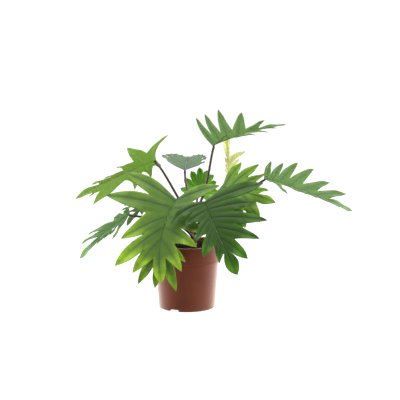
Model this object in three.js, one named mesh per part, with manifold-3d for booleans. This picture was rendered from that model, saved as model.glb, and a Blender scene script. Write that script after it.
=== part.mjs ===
// A potted Philodendron mayoi: a plastic nursery pot filled with soil, a short stem, and lobed leaves that
// stand on long stalks. Millimetres, +Z up. The origin is the middle of the pot's underside, on the surface
// that it stands on. Seen from the front, +X is to the right and +Y is away from the viewer.
import * as THREE from 'three'
import Module from 'manifold-3d'

const V3 = THREE.Vector3
const { sin, cos, PI } = Math
const rad = THREE.MathUtils.degToRad

// The clearance between neighbouring pieces
const gap = 0.3

// Pot
const potHeight = 114
const rimRadius = 60.5
const rimBandHeight = 28
const bandSlope = 2
const bandTaper = 0.8
const shoulderRadius = 56
const footRadius = 49.6
const wall = 1.8
const edgeRound = 0.6
const footRound = 3
const floorRound = 2
const footWidth = 5
const footSlope = 2
const centreFootRadius = 12
const recess = 3.5
const potSides = 40
const notchWidth = 18
const notchAngles = [-117, 63]
const drainRadius = 4
const drainCount = 6
const drainCircle = 28
const drainSides = 16

// Soil
const soilLevel = 107
const soilDome = 3
const domeSteps = 3

// Stem
const stemFoot = [17, -2, 62]
const stemTop = [8, 4, 172]
const stemFootRadius = 5.2
const stemTopRadius = 3.6
const stemNodes = 9
const stemSides = 8
const nodeSwell = 0.35

// Blades. A lobe's width is a share of its length, and its shape is set by how fast it narrows to its tip,
// how much it swells past its notch, and how much of its full width it fills. Its edges rise a share of its
// half width above its vein, and wave. Lobes twist by a like share, so that each one's edge toward the
// leaf's tip lies over the next lobe.
const bladeThickness = 0.8
const ribDepth = 0.9
const lobeRows = 5
const usualStarts = [0.03, 0.12, 0.23, 0.36, 0.5]
const usualTipStart = 0.62
const usualHook = 12
const lobeTaper = 0.95
const lobeSwell = 1.8
const lobeFill = 0.87
const tipWidthShare = 0.65
const edgeRise = 0.15
const usualTwist = 0.05
const edgeWave = 1.5
const edgeWaves = 1.1
const notchFade = 3

// Stalks. Each ends under its blade's midrib, a little past the blade's base, and is cut to fit the blade.
const stalkFootRadius = 2.4
const stalkHeadRadius = 1.9
const stalkSides = 6
const stalkSteps = 11
const seatAhead = 3.8
const seatBelow = 0.8
const riseShare = 0.4
const settleShare = 0.3
const settleSlope = 0.7

// Each leaf stands at the top of its stalk. "along" is the way its midrib sets off, and "faces" is the way
// its upper side looks. "droop" and "bow" are how far the midrib turns down and to its left by its tip,
// "fold" is how far the two sides are folded up from it, and "web" is the share of each lobe's length that
// is joined to its neighbours. "starts" is where the lobes' veins leave the midrib, and "tipStart" where the
// last lobe begins, whose width "tipWide" multiplies. Each other lobe is its angle from the midrib, its
// length and how far it sags. Where they aren't the usual ones, how far it hooks toward the tip and its
// width beside the usual follow. The first lobe is the one nearest the stalk. A stalk leaves the stem at a
// height, and leans out by a share of its rise.
const leafPlan = {
  a: {
    at: [45, 20, 286], along: [0.9, 0.25, 0.39], faces: [-0.2, -0.33, 0.85],
    length: 146, droop: 18, fold: 30, web: 0.26, width: 0.1, twist: 0.1, green: 'mid',
    left: [[98, 69, 0, 12, 0.8], [95, 69, 0, 12, 0.9], [87, 69, 0], [65, 53, 0, 12, 1.5], [28, 41, 0]],
    right: [
      [58, 47, -25, 12, 1.3], [46, 48, 20], [38, 50, 30, 12, 0.8], [30, 54, 30, 12, 0.7],
      [26, 50, 20, 12, 0.6]
    ],
    stalk: { height: 162, out: 0.9 }
  },
  b: {
    at: [75, 40, 222], along: [-0.05, 0.05, 1], faces: [0.3, -0.9, 0.1],
    length: 86, droop: 5, fold: 20, web: 0.3, width: 0.08, twist: 0.1, green: 'young',
    starts: [0.02, 0.09, 0.18, 0.3], tipStart: 0.38, tipWide: 2,
    left: [[40, 12, 0, 12, 1.2], [34, 14, 0, 12, 1.2], [28, 16, 0, 12, 1.2], [26, 18, 0, 12, 1.2]],
    right: [[60, 12, 0, 12, 1.2], [50, 16, 0, 12, 1.2], [44, 30, 8, 0, 1.5], [30, 42, 0, -50, 1.3]],
    stalk: { height: 150, out: 0.9 }
  },
  c: {
    at: [137, 10, 229], along: [0.95, 0.05, -0.27], faces: [0.1, -0.4, 0.9],
    length: 172, droop: 11, fold: 18, web: 0.28, width: 0.12, twist: 0.1, green: 'mid',
    starts: [0.02, 0.08, 0.16, 0.28, 0.42, 0.58], tipStart: 0.7,
    left: [[90, 45, 0], [77, 52, 0], [70, 68, 0], [62, 72, 0], [46, 65, 0], [35, 65, 0]],
    right: [
      [82, 30, -10, 12, 0.8], [66, 55, 15, 12, 0.6], [26, 54, 5, 12, 0.6], [24, 54, 5, 12, 0.5],
      [22, 52, 5, 12, 0.5], [26, 46, 5, 12, 0.6]
    ],
    stalk: { height: 138, out: 0.9 }
  },
  d: {
    at: [-54, 10, 261], along: [-0.85, 0.3, -0.34], faces: [-0.3, 0.65, 0.65],
    length: 172, droop: 12, fold: 10, web: 0.42, width: 0.1, twist: 0.1, green: 'light',
    left: [
      [111, 75, 0, -60, 0.45], [88, 53, 0, 12, 2.2], [46, 38, 15], [22, 42, 10, 12, 0.6],
      [20, 46, 5, 12, 0.7]
    ],
    right: [[90, 33, 10], [78, 38, 45], [60, 66, 25, 12, 0.8], [30, 112, 10], [20, 74, 6, 12, 0.6]],
    stalk: { height: 158, out: 0.8 }
  },
  e: {
    at: [-4, 40, 240], along: [0.05, 0.97, 0.2], faces: [0, -0.2, 0.97],
    length: 112, droop: 8, fold: 24, web: 0.7, width: 0.16, green: 'grey',
    left: [[97, 49, -20], [80, 50, 0], [62, 50, 5], [48, 48, 5], [35, 42, 5]],
    right: [[100, 40, 0], [80, 44, 0], [62, 46, 5], [48, 46, 5], [35, 42, 5]],
    stalk: { height: 168, out: 0.6 }
  },
  f: {
    at: [-17, -60, 200], along: [-0.5, -0.364, -0.785], faces: [0, -0.9, 0.42],
    length: 149, droop: 15, bow: 40, fold: 6, web: 0.42, width: 0.125, twist: 0.15, green: 'bright',
    left: [[146, 82, 10], [112, 82, 10], [92, 72, 10], [80, 66, 10], [48, 65, 10]],
    right: [[98, 100, 8], [82, 114, 8], [50, 88, 14], [42, 106, 10], [36, 75, 10]],
    stalk: { height: 148, out: 0.7 }
  },
  g: {
    at: [31, -70, 198], along: [0.33, -0.45, -0.83], faces: [0.05, -0.85, 0.5],
    length: 138, droop: 15, bow: 10, fold: 6, web: 0.46, width: 0.115, twist: 0.15, green: 'deep',
    tipStart: 0.58, tipWide: 1.4,
    left: [
      [97, 106, 6], [86, 84, 8, 12, 0.75], [73, 96, 8, 12, 0.8], [60, 78, 8, 12, 0.85],
      [36, 59, 8, 12, 1.4]
    ],
    right: [[97, 70, 15, 40], [80, 50, 15], [60, 50, 10], [49, 56, 10, 12, 1.3], [30, 44, 8]],
    stalk: { height: 136, out: 0.8 }
  },
  h: {
    at: [62, -22, 217], along: [0.88, -0.3, -0.15], faces: [0.1, -0.75, 0.65],
    length: 98, droop: 15, fold: 6, web: 0.5, width: 0.13, twist: 0.3, green: 'bright',
    starts: [0.03, 0.12, 0.23, 0.36], tipStart: 0.5, tipWide: 1.2,
    left: [[83, 60, 4, 12, 1.1], [67, 73, 7], [56, 74, 14, 12, 0.4], [30, 48, 14]],
    right: [[112, 50, 8], [90, 70, 35], [70, 90, 30, 12, 0.8], [50, 69, 20]],
    stalk: { height: 128, out: 0.8 }
  },
  i: {
    at: [-101, 0, 167], along: [-0.8, -0.05, -0.53], faces: [-0.5, -0.5, 0.7],
    length: 124, droop: 20, fold: 8, web: 0.3, width: 0.13, twist: 0.15, green: 'deep',
    starts: [0.03, 0.12, 0.23, 0.36], tipStart: 0.5,
    left: [[44, 57, 10, 12, 0.6], [32, 40, 10, 12, 0.6], [28, 38, 10, 12, 0.6], [26, 40, 5, 12, 0.6]],
    right: [[100, 34, 50], [70, 42, 50], [32, 66, 12, 12, 0.65], [25, 66, 8, 12, 0.6]],
    stalk: { height: 130, out: 0.9 }
  },
  j: {
    at: [-38, -72, 156], along: [-0.15, -0.12, -0.98], faces: [-0.1, -0.98, 0.12],
    length: 108, droop: 5, fold: 4, web: 0.3, width: 0.12, twist: 0.2, green: 'bright',
    starts: [0.03, 0.12, 0.23, 0.36], tipStart: 0.5,
    left: [[115, 34, 8], [90, 44, 8], [62, 55, 8], [34, 78, 8]],
    right: [[115, 45, 8], [90, 50, 8], [62, 56, 8], [30, 74, 8]],
    stalk: { height: 121, out: 0.9 }
  },
  k: {
    at: [-42, 66, 182], along: [-0.62, 0.72, -0.1], faces: [0, 0.1, 0.97],
    length: 130, droop: 45, fold: 8, web: 0.33, width: 0.12, green: 'deep',
    left: [[115, 60, 20], [92, 62, 20], [72, 60, 20], [54, 54, 15], [36, 46, 10]],
    right: [[115, 60, 20], [92, 62, 20], [72, 60, 20], [54, 54, 15], [36, 46, 10]],
    stalk: { height: 149, out: 0.9 }
  },
  l: {
    at: [52, 68, 174], along: [0.5, 0.8, -0.1], faces: [0, 0.1, 0.97],
    length: 125, droop: 45, fold: 8, web: 0.33, width: 0.12, green: 'mid',
    left: [[115, 58, 20], [92, 60, 20], [72, 58, 20], [54, 52, 15], [36, 45, 10]],
    right: [[115, 58, 20], [92, 60, 20], [72, 58, 20], [54, 52, 15], [36, 45, 10]],
    stalk: { height: 124, out: 0.9 }
  },
  n: {
    at: [20, 50, 196], along: [0.35, 0.35, 0.87], faces: [0, -0.93, 0.35],
    length: 48, droop: 5, fold: 8, web: 0.6, width: 0.17, twist: 0.3, green: 'deep',
    starts: [0.03, 0.12, 0.23, 0.36], tipStart: 0.5,
    left: [[104, 34, 5], [78, 36, 5], [54, 36, 5], [32, 34, 5]],
    right: [[104, 36, 5], [78, 34, 5], [54, 32, 5], [34, 30, 5]],
    stalk: { height: 141, out: 1 }
  }
}

// Roots that loop out of the stem's foot and down into the soil: where each starts, its crest and its end
const rootPlan = {
  aerial_root_1: [[16, -3, 118], [40, -16, 138], [50, -20, 102]],
  aerial_root_2: [[15, 0, 116], [2, 30, 128], [-8, 38, 102]]
}
const rootRadius = 1.6

// Papery sheaths: the leaf whose stalk each clasps, where it starts and ends along the stalk, the side that
// it is on, and how far its tip stands away
const sheathPlan = {
  sheath_right: { on: 'h', from: 0.1, to: 0.36, toward: [1, 0, 0], flare: 4 },
  sheath_left: { on: 'i', from: 0.4, to: 0.64, toward: [0, 1, 1], flare: 9 }
}
const sheathThickness = 0.7
const sheathClearance = 0.4
const sheathWrap = 100
const sheathTaper = 1.5
const sheathRows = 6
const sheathColumns = 6

const greens = {
  mid: 0x4d8a3a,
  light: 0x7fae4e,
  grey: 0x5c8268,
  bright: 0x6ea03c,
  deep: 0x35692f,
  young: 0xc9cf86
}

// The library that joins and cuts solids
const wasm = await Module()
wasm.setup()

// A name for a place, to the nearest micrometre.
const placeKey = (point) => point.toArray().map((value) => Math.round(value * 1000)).join()

// Merges vertices that share a place, and drops the faces that this flattens.
function weld(points, faces) {
  const places = new Map()
  const vertices = []
  const index = points.map((point) => {
    const key = placeKey(point)
    if (!places.has(key)) {
      places.set(key, vertices.length)
      vertices.push(point)
    }
    return places.get(key)
  })
  const kept = faces
    .map((face) => face.map((corner) => index[corner]))
    .filter(([a, b, c]) => a !== b && b !== c && c !== a)
  return { vertices, faces: kept }
}

// The points and faces of a three.js geometry, with its seams merged.
function welded(geometry) {
  const places = geometry.attributes.position
  const points = []
  for (let i = 0; i < places.count; i += 1) points.push(new V3().fromBufferAttribute(places, i))
  const corners = geometry.index ? [...geometry.index.array] : points.map((_, i) => i)
  const faces = []
  for (let i = 0; i < corners.length; i += 3) faces.push(corners.slice(i, i + 3))
  return weld(points, faces)
}

const numbers = (vertices) => vertices.flatMap((point) => point.toArray())

function toGeometry({ vertices, faces }) {
  const geometry = new THREE.BufferGeometry()
  geometry.setAttribute('position', new THREE.Float32BufferAttribute(numbers(vertices), 3))
  geometry.setIndex(faces.flat())
  geometry.computeVertexNormals()
  return geometry
}

function toSolid({ vertices, faces }) {
  const mesh = new wasm.Mesh({
    numProp: 3,
    vertProperties: new Float32Array(numbers(vertices)),
    triVerts: new Uint32Array(faces.flat())
  })
  return new wasm.Manifold(mesh)
}

function fromSolid(solid) {
  const { vertProperties, triVerts } = solid.getMesh()
  const geometry = new THREE.BufferGeometry()
  geometry.setAttribute('position', new THREE.BufferAttribute(new Float32Array(vertProperties), 3))
  geometry.setIndex([...triVerts])
  geometry.computeVertexNormals()
  return geometry
}

const group = new THREE.Group()

function addMesh(name, geometry, material) {
  const mesh = new THREE.Mesh(geometry, material)
  mesh.name = name
  group.add(mesh)
}

// A profile of [radius, height] points, turned about the pot's axis.
function turned(profile) {
  const lathe = new THREE.LatheGeometry(profile.map(([r, z]) => new THREE.Vector2(r, z)), potSides)
  lathe.rotateX(PI / 2)
  return toSolid(welded(lathe))
}

// Points on an ellipse about a middle [radius, height], from one angle to another.
function ellipse([r, z], wide, high, from, to, steps) {
  return Array.from({ length: steps + 1 }, (_, i) => {
    const angle = rad(from + ((to - from) * i) / steps)
    return [r + wide * cos(angle), z + high * sin(angle)]
  })
}

// The pot's inside, from the middle of its floor up to its rim
const bandFoot = potHeight - rimBandHeight
const floor = recess + wall
const inside = [
  [0, floor],
  [footRadius - wall - floorRound, floor],
  [footRadius - wall, floor + floorRound],
  [shoulderRadius - wall, bandFoot - bandSlope],
  [rimRadius - wall - bandTaper, bandFoot + wall],
  [rimRadius - wall, potHeight - edgeRound]
]

// Pot: a tapered cup with a wide rim band. It stands on a foot ring and a small middle foot, with notches
// and drain holes in between.
function potSolid() {
  const outside = [
    [0, 0],
    [centreFootRadius, 0],
    [centreFootRadius + footSlope, recess],
    [footRadius - footWidth - footSlope, recess],
    [footRadius - footWidth, 0],
    ...ellipse([footRadius - footRound, footRound], footRound, footRound, -90, 0, 2),
    [shoulderRadius, bandFoot - bandSlope],
    [rimRadius - bandTaper - edgeRound, bandFoot],
    [rimRadius - bandTaper, bandFoot + edgeRound],
    [rimRadius, potHeight - edgeRound],
    [rimRadius - edgeRound, potHeight],
    [rimRadius - wall + edgeRound, potHeight]
  ]
  let pot = turned([...outside, ...inside.toReversed()])
  for (const angle of notchAngles) {
    const notch = new THREE.BoxGeometry(4 * footWidth, notchWidth, 2 * recess)
    notch.translate(footRadius, 0, 0)
    notch.rotateZ(rad(angle))
    pot = pot.subtract(toSolid(welded(notch)))
  }
  for (let i = 0; i < drainCount; i += 1) {
    const drain = new THREE.CylinderGeometry(drainRadius, drainRadius, 4 * wall, drainSides)
    drain.rotateX(PI / 2)
    drain.translate(drainCircle, 0, floor)
    drain.rotateZ((2 * PI * (i + 0.5)) / drainCount)
    pot = pot.subtract(toSolid(welded(drain)))
  }
  return pot
}

// Soil: it fills the pot and rises a little to its middle.
function soilSolid() {
  const fill = inside.slice(0, -1).map(([r, z]) => [Math.max(r - gap, 0), z + gap])
  const top = ellipse([0, soilLevel], rimRadius - wall - bandTaper - gap, soilDome, 0, 90, domeSteps)
  return turned([...fill, ...top])
}

// Stem: it leans a little, thins upward and swells at each node.
const stemLine = new THREE.LineCurve3(new V3(...stemFoot), new V3(...stemTop))
const stemAt = (height) => stemLine.getPoint((height - stemFoot[2]) / (stemTop[2] - stemFoot[2]))

// The places along a path, with both of its ends drawn out by the clearance.
const drawnOut = (path, clearance) => (t) => {
  const outward = t === 0 ? -clearance : t === 1 ? clearance : 0
  return path.getPoint(t).addScaledVector(path.getTangent(t), outward)
}

function stemSolid(clearance) {
  const radius = (t) => {
    const swell = nodeSwell * cos(2 * PI * stemNodes * t)
    return stemFootRadius + (stemTopRadius - stemFootRadius) * t + swell + clearance
  }
  return toSolid(bent(stemSides, stemNodes * 2, drawnOut(stemLine, clearance), radius))
}

// A round bar bent along a curve: "place" gives the middle at t from 0 to 1, and "radius" its radius there.
function bent(sides, steps, place, radius) {
  const bar = welded(new THREE.CylinderGeometry(1, 1, 1, sides, steps))
  const frames = []
  let across = null
  for (let i = 0; i <= steps; i += 1) {
    const t = i / steps
    const step = 0.5 / steps
    const ahead = place(Math.min(t + step, 1)).sub(place(Math.max(t - step, 0))).normalize()
    const start = across ?? (Math.abs(ahead.x) < 0.9 ? new V3(1, 0, 0) : new V3(0, 1, 0))
    across = start.clone().addScaledVector(ahead, -start.dot(ahead)).normalize()
    frames.push({ middle: place(t), across, up: new V3().crossVectors(ahead, across), radius: radius(t) })
  }
  const vertices = bar.vertices.map(({ x, y, z }) => {
    const { middle, across, up, radius } = frames[Math.round((y + 0.5) * steps)]
    return middle.clone().addScaledVector(across, z * radius).addScaledVector(up, x * radius)
  })
  return { vertices, faces: bar.faces }
}

// A unit direction from its rise and its turn to the left, both in radians.
const heading = (rise, turn) => new V3(cos(rise) * cos(turn), cos(rise) * sin(turn), sin(rise))

// How far an arc that sets off along x has got at t, when it rises and turns this far by its end.
function arc(length, rise, turn, t) {
  const half = (Math.hypot(rise, turn) * t) / 2
  const reach = length * t * (half > 1e-6 ? sin(half) / half : 1)
  return heading((rise * t) / 2, (turn * t) / 2).multiplyScalar(reach)
}

function inFrame({ along, side, up }, { x, y, z }) {
  return new V3().addScaledVector(along, x).addScaledVector(side, y).addScaledVector(up, z)
}

function midrib(leaf, s) {
  const droop = rad(-leaf.droop)
  const bow = rad(leaf.bow)
  const point = inFrame(leaf.frame, arc(leaf.length, droop, bow, s)).add(leaf.base)
  const along = inFrame(leaf.frame, heading(droop * s, bow * s))
  const side = inFrame(leaf.frame, new V3(-sin(bow * s), cos(bow * s), 0))
  return { point, along, side, up: new V3().crossVectors(along, side) }
}

// The vein of a lobe at t, with the way across the lobe toward the leaf's tip.
function vein(leaf, hand, lobe, t) {
  const [angle, length, sag, hook = usualHook, wide = 1] = (hand > 0 ? leaf.left : leaf.right)[lobe]
  const root = midrib(leaf, leaf.starts[lobe])
  const fold = rad(leaf.fold)
  const out = root.side.clone().multiplyScalar(hand * cos(fold)).addScaledVector(root.up, sin(fold))
  const along = root.along.clone().multiplyScalar(cos(rad(angle))).addScaledVector(out, sin(rad(angle)))
  const up = root.up.clone().multiplyScalar(cos(fold)).addScaledVector(root.side, -hand * sin(fold))
  const frame = { along, side: new V3().crossVectors(up, along), up }
  const rise = rad(-sag)
  const turn = -hand * rad(hook)
  const point = inFrame(frame, arc(length, rise, turn, t)).add(root.point)
  const ahead = inFrame(frame, heading(rise * t, turn * t))
  const across = new V3().crossVectors(up, ahead).normalize().multiplyScalar(-hand)
  const half = leaf.width * length * wide
  return { point, across, up: new V3().crossVectors(across, ahead).multiplyScalar(hand), half }
}

// The line in the web between two neighbouring lobes, from the midrib at r = 0 to the notch at r = 1.
function webLine(leaf, hand, lobe, r) {
  const { starts, tipStart } = leaf
  const last = lobe === starts.length - 1
  const here = (at) => vein(leaf, hand, lobe, leaf.web * at).point
  const next = (at) => (last ? tipVein(leaf, leaf.web * at) : vein(leaf, hand, lobe + 1, leaf.web * at)).point
  const root = last ? tipStart : (starts[lobe] + starts[lobe + 1]) / 2
  const pull = midrib(leaf, root).point.sub(here(0).lerp(next(0), 0.5))
  return here(r).lerp(next(r), 0.5).addScaledVector(pull, 1 - r)
}

function tipVein(leaf, t) {
  const { point, side, up } = midrib(leaf, leaf.tipStart + (1 - leaf.tipStart) * t)
  return { point, across: side, up, half: leaf.width * leaf.length * tipWidthShare * leaf.tipWide }
}

// How wide a lobe is, from its notch at q = 0 to its tip at q = 1.
const lobeShape = (q) => lobeFill * (1 - q) ** lobeTaper * (1 + lobeSwell * q)

// One lobe as a grid. Column -1 is its edge toward the stalk, 0 its vein, and 1 its edge toward the tip.
function lobePoint(leaf, hand, lobe, column, row) {
  const isTip = lobe === leaf.starts.length
  const at = (t) => (isTip ? tipVein(leaf, t) : vein(leaf, hand, lobe, t))
  if (row <= 1) {
    const middle = at(leaf.web * row)
    if (column === 0) return middle.point
    if (isTip) return webLine(leaf, column, lobe - 1, row)
    if (column > 0) return webLine(leaf, hand, lobe, row)
    if (lobe > 0) return webLine(leaf, hand, lobe - 1, row)
    const pull = midrib(leaf, 0).point.sub(at(0).point)
    const edge = middle.point.addScaledVector(middle.across, -middle.half * row)
    return edge.addScaledVector(pull, 1 - row)
  }
  const q = (row - 1) / (lobeRows - 1)
  const { point, across, up, half } = at(leaf.web + (1 - leaf.web) * q)
  if (column === 0) return point
  const notch = lobePoint(leaf, hand, lobe, column, 1)
  const root = at(leaf.web)
  const slack = notch.sub(root.point).addScaledVector(root.across, -column * half * lobeShape(0))
  const wave = edgeWave * 4 * q * (1 - q) * sin(2 * PI * edgeWaves * q + lobe + column)
  const lean = edgeRise + leaf.twist * (isTip ? -1 : column)
  const rise = lean * half * lobeShape(q) + wave
  return point
    .addScaledVector(across, column * half * lobeShape(q))
    .addScaledVector(up, rise)
    .addScaledVector(slack, (1 - q) ** notchFade)
}

// A leaf's blade: the lobes as sheets joined along the midrib and the webs, then given their thickness.
function blade(leaf, clearance) {
  const points = []
  const faces = []
  const ribbed = []
  const addLobe = (hand, lobe) => {
    const start = points.length
    for (let row = 0; row <= lobeRows; row += 1) {
      for (let column = -1; column <= 1; column += 1) {
        points.push(lobePoint(leaf, hand, lobe, column, row))
        ribbed.push(row === 0 ? 1 : column === 0 ? 1 - row / lobeRows : 0)
      }
    }
    for (let row = 0; row < lobeRows; row += 1) {
      for (let column = 0; column < 2; column += 1) {
        const a = start + row * 3 + column
        const quad = [a, a + 1, a + 4, a + 3]
        const split = column === 0
          ? [[quad[0], quad[1], quad[2]], [quad[0], quad[2], quad[3]]]
          : [[quad[0], quad[1], quad[3]], [quad[1], quad[2], quad[3]]]
        for (const face of split) faces.push(hand > 0 ? face : [...face].reverse())
      }
    }
  }
  for (const hand of [1, -1]) {
    for (let lobe = 0; lobe < leaf.starts.length; lobe += 1) addLobe(hand, lobe)
  }
  addLobe(-1, leaf.starts.length)
  return thicken(points, faces, ribbed, bladeThickness + 2 * clearance)
}

// Gives a sheet its thickness, with both faces split alike and a closed edge. Ribs stand out below.
function thicken(points, faces, ribbed, thickness) {
  const sheet = weld(points, faces)
  const depth = new Map()
  points.forEach((point, i) => {
    const key = placeKey(point)
    depth.set(key, Math.max(depth.get(key) ?? 0, ribbed[i]))
  })
  const normals = sheet.vertices.map(() => new V3())
  for (const [a, b, c] of sheet.faces) {
    const [p, q, r] = [a, b, c].map((corner) => sheet.vertices[corner])
    const normal = new V3().crossVectors(q.clone().sub(p), r.clone().sub(p))
    for (const corner of [a, b, c]) normals[corner].add(normal)
  }
  const count = sheet.vertices.length
  const top = sheet.vertices.map((p, i) => p.clone().addScaledVector(normals[i].normalize(), thickness / 2))
  const bottom = sheet.vertices.map((p, i) => {
    const below = thickness / 2 + ribDepth * depth.get(placeKey(p))
    return p.clone().addScaledVector(normals[i], -below)
  })
  const shell = sheet.faces.flatMap(([a, b, c]) => [[a, b, c], [c + count, b + count, a + count]])
  const edges = new Set(sheet.faces.flatMap(([a, b, c]) => [`${a},${b}`, `${b},${c}`, `${c},${a}`]))
  for (const edge of edges) {
    const [a, b] = edge.split(',').map(Number)
    if (edges.has(`${b},${a}`)) continue
    shell.push([b, a, a + count], [b, a + count, b + count])
  }
  return { vertices: [...top, ...bottom], faces: shell }
}

// The middle line of a leaf's stalk: it leaves the stem outward and upward, and settles under the blade.
function stalkCurve(leaf) {
  const { height, out } = leaf.stalk
  const { along, up } = leaf.frame
  const foot = stemAt(height)
  const head = leaf.base.clone().addScaledVector(along, seatAhead).addScaledVector(up, -seatBelow)
  const reach = head.distanceTo(foot)
  const outward = new V3(head.x - foot.x, head.y - foot.y, 0).normalize()
  const rise = outward.multiplyScalar(out).add(new V3(0, 0, 1)).normalize()
  const settle = up.clone().addScaledVector(along, settleSlope).normalize()
  return new THREE.CubicBezierCurve3(
    foot,
    foot.clone().addScaledVector(rise, reach * riseShare),
    head.clone().addScaledVector(settle, -reach * settleShare),
    head
  )
}

const stalkRadius = (t) => stalkFootRadius + (stalkHeadRadius - stalkFootRadius) * t

function stalkSolid(leaf) {
  const path = stalkCurve(leaf)
  return toSolid(bent(stalkSides, stalkSteps, (t) => path.getPoint(t), stalkRadius))
}

// A dry sheath: a paper-thin leaf that clasps a stalk and flares away from it to a point.
function sheath(leaf, { from, to, toward, flare }) {
  const path = stalkCurve(leaf)
  const points = []
  const faces = []
  for (let row = 0; row <= sheathRows; row += 1) {
    const q = row / sheathRows
    const t = from + (to - from) * q
    const middle = path.getPoint(t)
    const ahead = path.getTangent(t)
    const side = new V3(...toward)
    const out = side.addScaledVector(ahead, -side.dot(ahead)).normalize()
    const across = new V3().crossVectors(ahead, out)
    const radius = stalkRadius(t) + sheathClearance + sheathThickness / 2
    for (let column = 0; column <= sheathColumns; column += 1) {
      const turn = ((2 * column) / sheathColumns - 1) * rad(sheathWrap) * (1 - q ** sheathTaper)
      const point = middle.clone().addScaledVector(out, radius * cos(turn) + flare * q * q)
      points.push(point.addScaledVector(across, radius * sin(turn)))
    }
  }
  const wide = sheathColumns + 1
  for (let row = 0; row < sheathRows; row += 1) {
    for (let column = 0; column < sheathColumns; column += 1) {
      const a = row * wide + column
      faces.push([a, a + wide, a + 1], [a + 1, a + wide, a + wide + 1])
    }
  }
  return thicken(points, faces, points.map(() => 0), sheathThickness)
}

// An aerial root: a bar bent over a crest, from the stem down into the soil.
function rootSolid(plan, clearance) {
  const path = new THREE.QuadraticBezierCurve3(...plan.map((point) => new V3(...point)))
  return toSolid(bent(stalkSides, stalkSteps, drawnOut(path, clearance), () => rootRadius + clearance))
}

const plastic = new THREE.MeshStandardMaterial({ color: 0x7a3a28, roughness: 0.55, metalness: 0 })
const earth = new THREE.MeshStandardMaterial({ color: 0x17110d, roughness: 1, metalness: 0 })
const bark = new THREE.MeshStandardMaterial({ color: 0x4a3526, roughness: 0.8, metalness: 0 })
const paper = new THREE.MeshStandardMaterial({ color: 0xd9c79a, roughness: 0.8, metalness: 0 })
const maroon = new THREE.MeshStandardMaterial({ color: 0x35201f, roughness: 0.5, metalness: 0 })

addMesh('pot', fromSolid(potSolid()), plastic)

const stemRoom = stemSolid(gap)
addMesh('stem', fromSolid(stemSolid(0)), bark)

let soil = soilSolid().subtract(stemRoom)
for (const [name, plan] of Object.entries(rootPlan)) {
  soil = soil.subtract(rootSolid(plan, gap))
  addMesh(name, fromSolid(rootSolid(plan, 0).subtract(stemRoom)), bark)
}
addMesh('soil', fromSolid(soil), earth)

const leaves = {}
for (const [name, plan] of Object.entries(leafPlan)) {
  const along = new V3(...plan.along).normalize()
  const faces = new V3(...plan.faces)
  const up = faces.addScaledVector(along, -faces.dot(along)).normalize()
  const frame = { along, side: new V3().crossVectors(up, along), up }
  const usual = { bow: 0, twist: usualTwist, starts: usualStarts, tipStart: usualTipStart, tipWide: 1 }
  const leaf = { ...usual, ...plan, frame, base: new V3(...plan.at) }
  const colour = new THREE.MeshStandardMaterial({ color: greens[plan.green], roughness: 0.4, metalness: 0 })
  const bladeRoom = toSolid(blade(leaf, gap))
  addMesh(`leaf_${name}`, toGeometry(blade(leaf, 0)), colour)
  addMesh(`petiole_${name}`, fromSolid(stalkSolid(leaf).subtract(stemRoom).subtract(bladeRoom)), maroon)
  leaves[name] = leaf
}
for (const [name, plan] of Object.entries(sheathPlan)) {
  addMesh(name, toGeometry(sheath(leaves[plan.on], plan)), paper)
}

export default group
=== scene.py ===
import math
import random

import bmesh
import bpy
from mathutils import Matrix, Vector, noise


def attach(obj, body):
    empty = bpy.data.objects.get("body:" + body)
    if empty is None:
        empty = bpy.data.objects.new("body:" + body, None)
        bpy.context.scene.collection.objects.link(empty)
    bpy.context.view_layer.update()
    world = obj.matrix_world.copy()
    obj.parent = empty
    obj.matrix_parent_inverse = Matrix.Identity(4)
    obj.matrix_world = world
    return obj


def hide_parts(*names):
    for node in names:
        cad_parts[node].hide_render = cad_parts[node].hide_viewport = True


# A potted Philodendron mayoi: deeply lobed leaves on thin dark stalks, a short stem and loose soil in a
# brown plastic nursery pot. +X is to the right, +Y away from the camera and +Z up. Lengths are in
# millimetres where no comment says metres.
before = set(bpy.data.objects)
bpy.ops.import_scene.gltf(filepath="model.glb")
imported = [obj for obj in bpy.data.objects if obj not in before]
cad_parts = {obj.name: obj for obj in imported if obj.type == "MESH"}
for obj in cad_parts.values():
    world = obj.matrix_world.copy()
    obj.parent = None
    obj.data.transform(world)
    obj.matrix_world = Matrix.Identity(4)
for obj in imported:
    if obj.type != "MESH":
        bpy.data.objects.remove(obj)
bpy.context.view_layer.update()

MM = 0.001


# Camera. It sees as far as 100 metres.
EYE = (23.3, -1760.0, 422.6)
LOOK_DOWN = 7.5
LENS = 90.45
SENSOR = 36.0
FARTHEST = 100.0

camera_data = bpy.data.cameras.new("camera")
camera_data.lens = LENS
camera_data.sensor_width = SENSOR
camera_data.sensor_fit = "HORIZONTAL"
camera_data.clip_end = FARTHEST
camera = bpy.data.objects.new("camera", camera_data)
camera.location = Vector(EYE) * MM
camera.rotation_euler = (math.radians(90 - LOOK_DOWN), 0, 0)
bpy.context.scene.collection.objects.link(camera)
bpy.context.scene.camera = camera


# Leaves, with the same values as the solids have. A lobe has its angle, length and sag, and its share of the
# width and its hook where they aren't the usual ones.
USUAL_STARTS = (0.03, 0.12, 0.23, 0.36, 0.5)
USUAL_TIP_START = 0.62
USUAL_WIDTH_AND_HOOK = (1, 12)
USUAL_TWIST = 0.05
FOUR_STARTS = (0.03, 0.12, 0.23, 0.36)
BACK_LOBES = [(115, 60, 20), (92, 62, 20), (72, 60, 20), (54, 54, 15), (36, 46, 10)]
SIDE_LOBES = [(115, 58, 20), (92, 60, 20), (72, 58, 20), (54, 52, 15), (36, 45, 10)]

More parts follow.
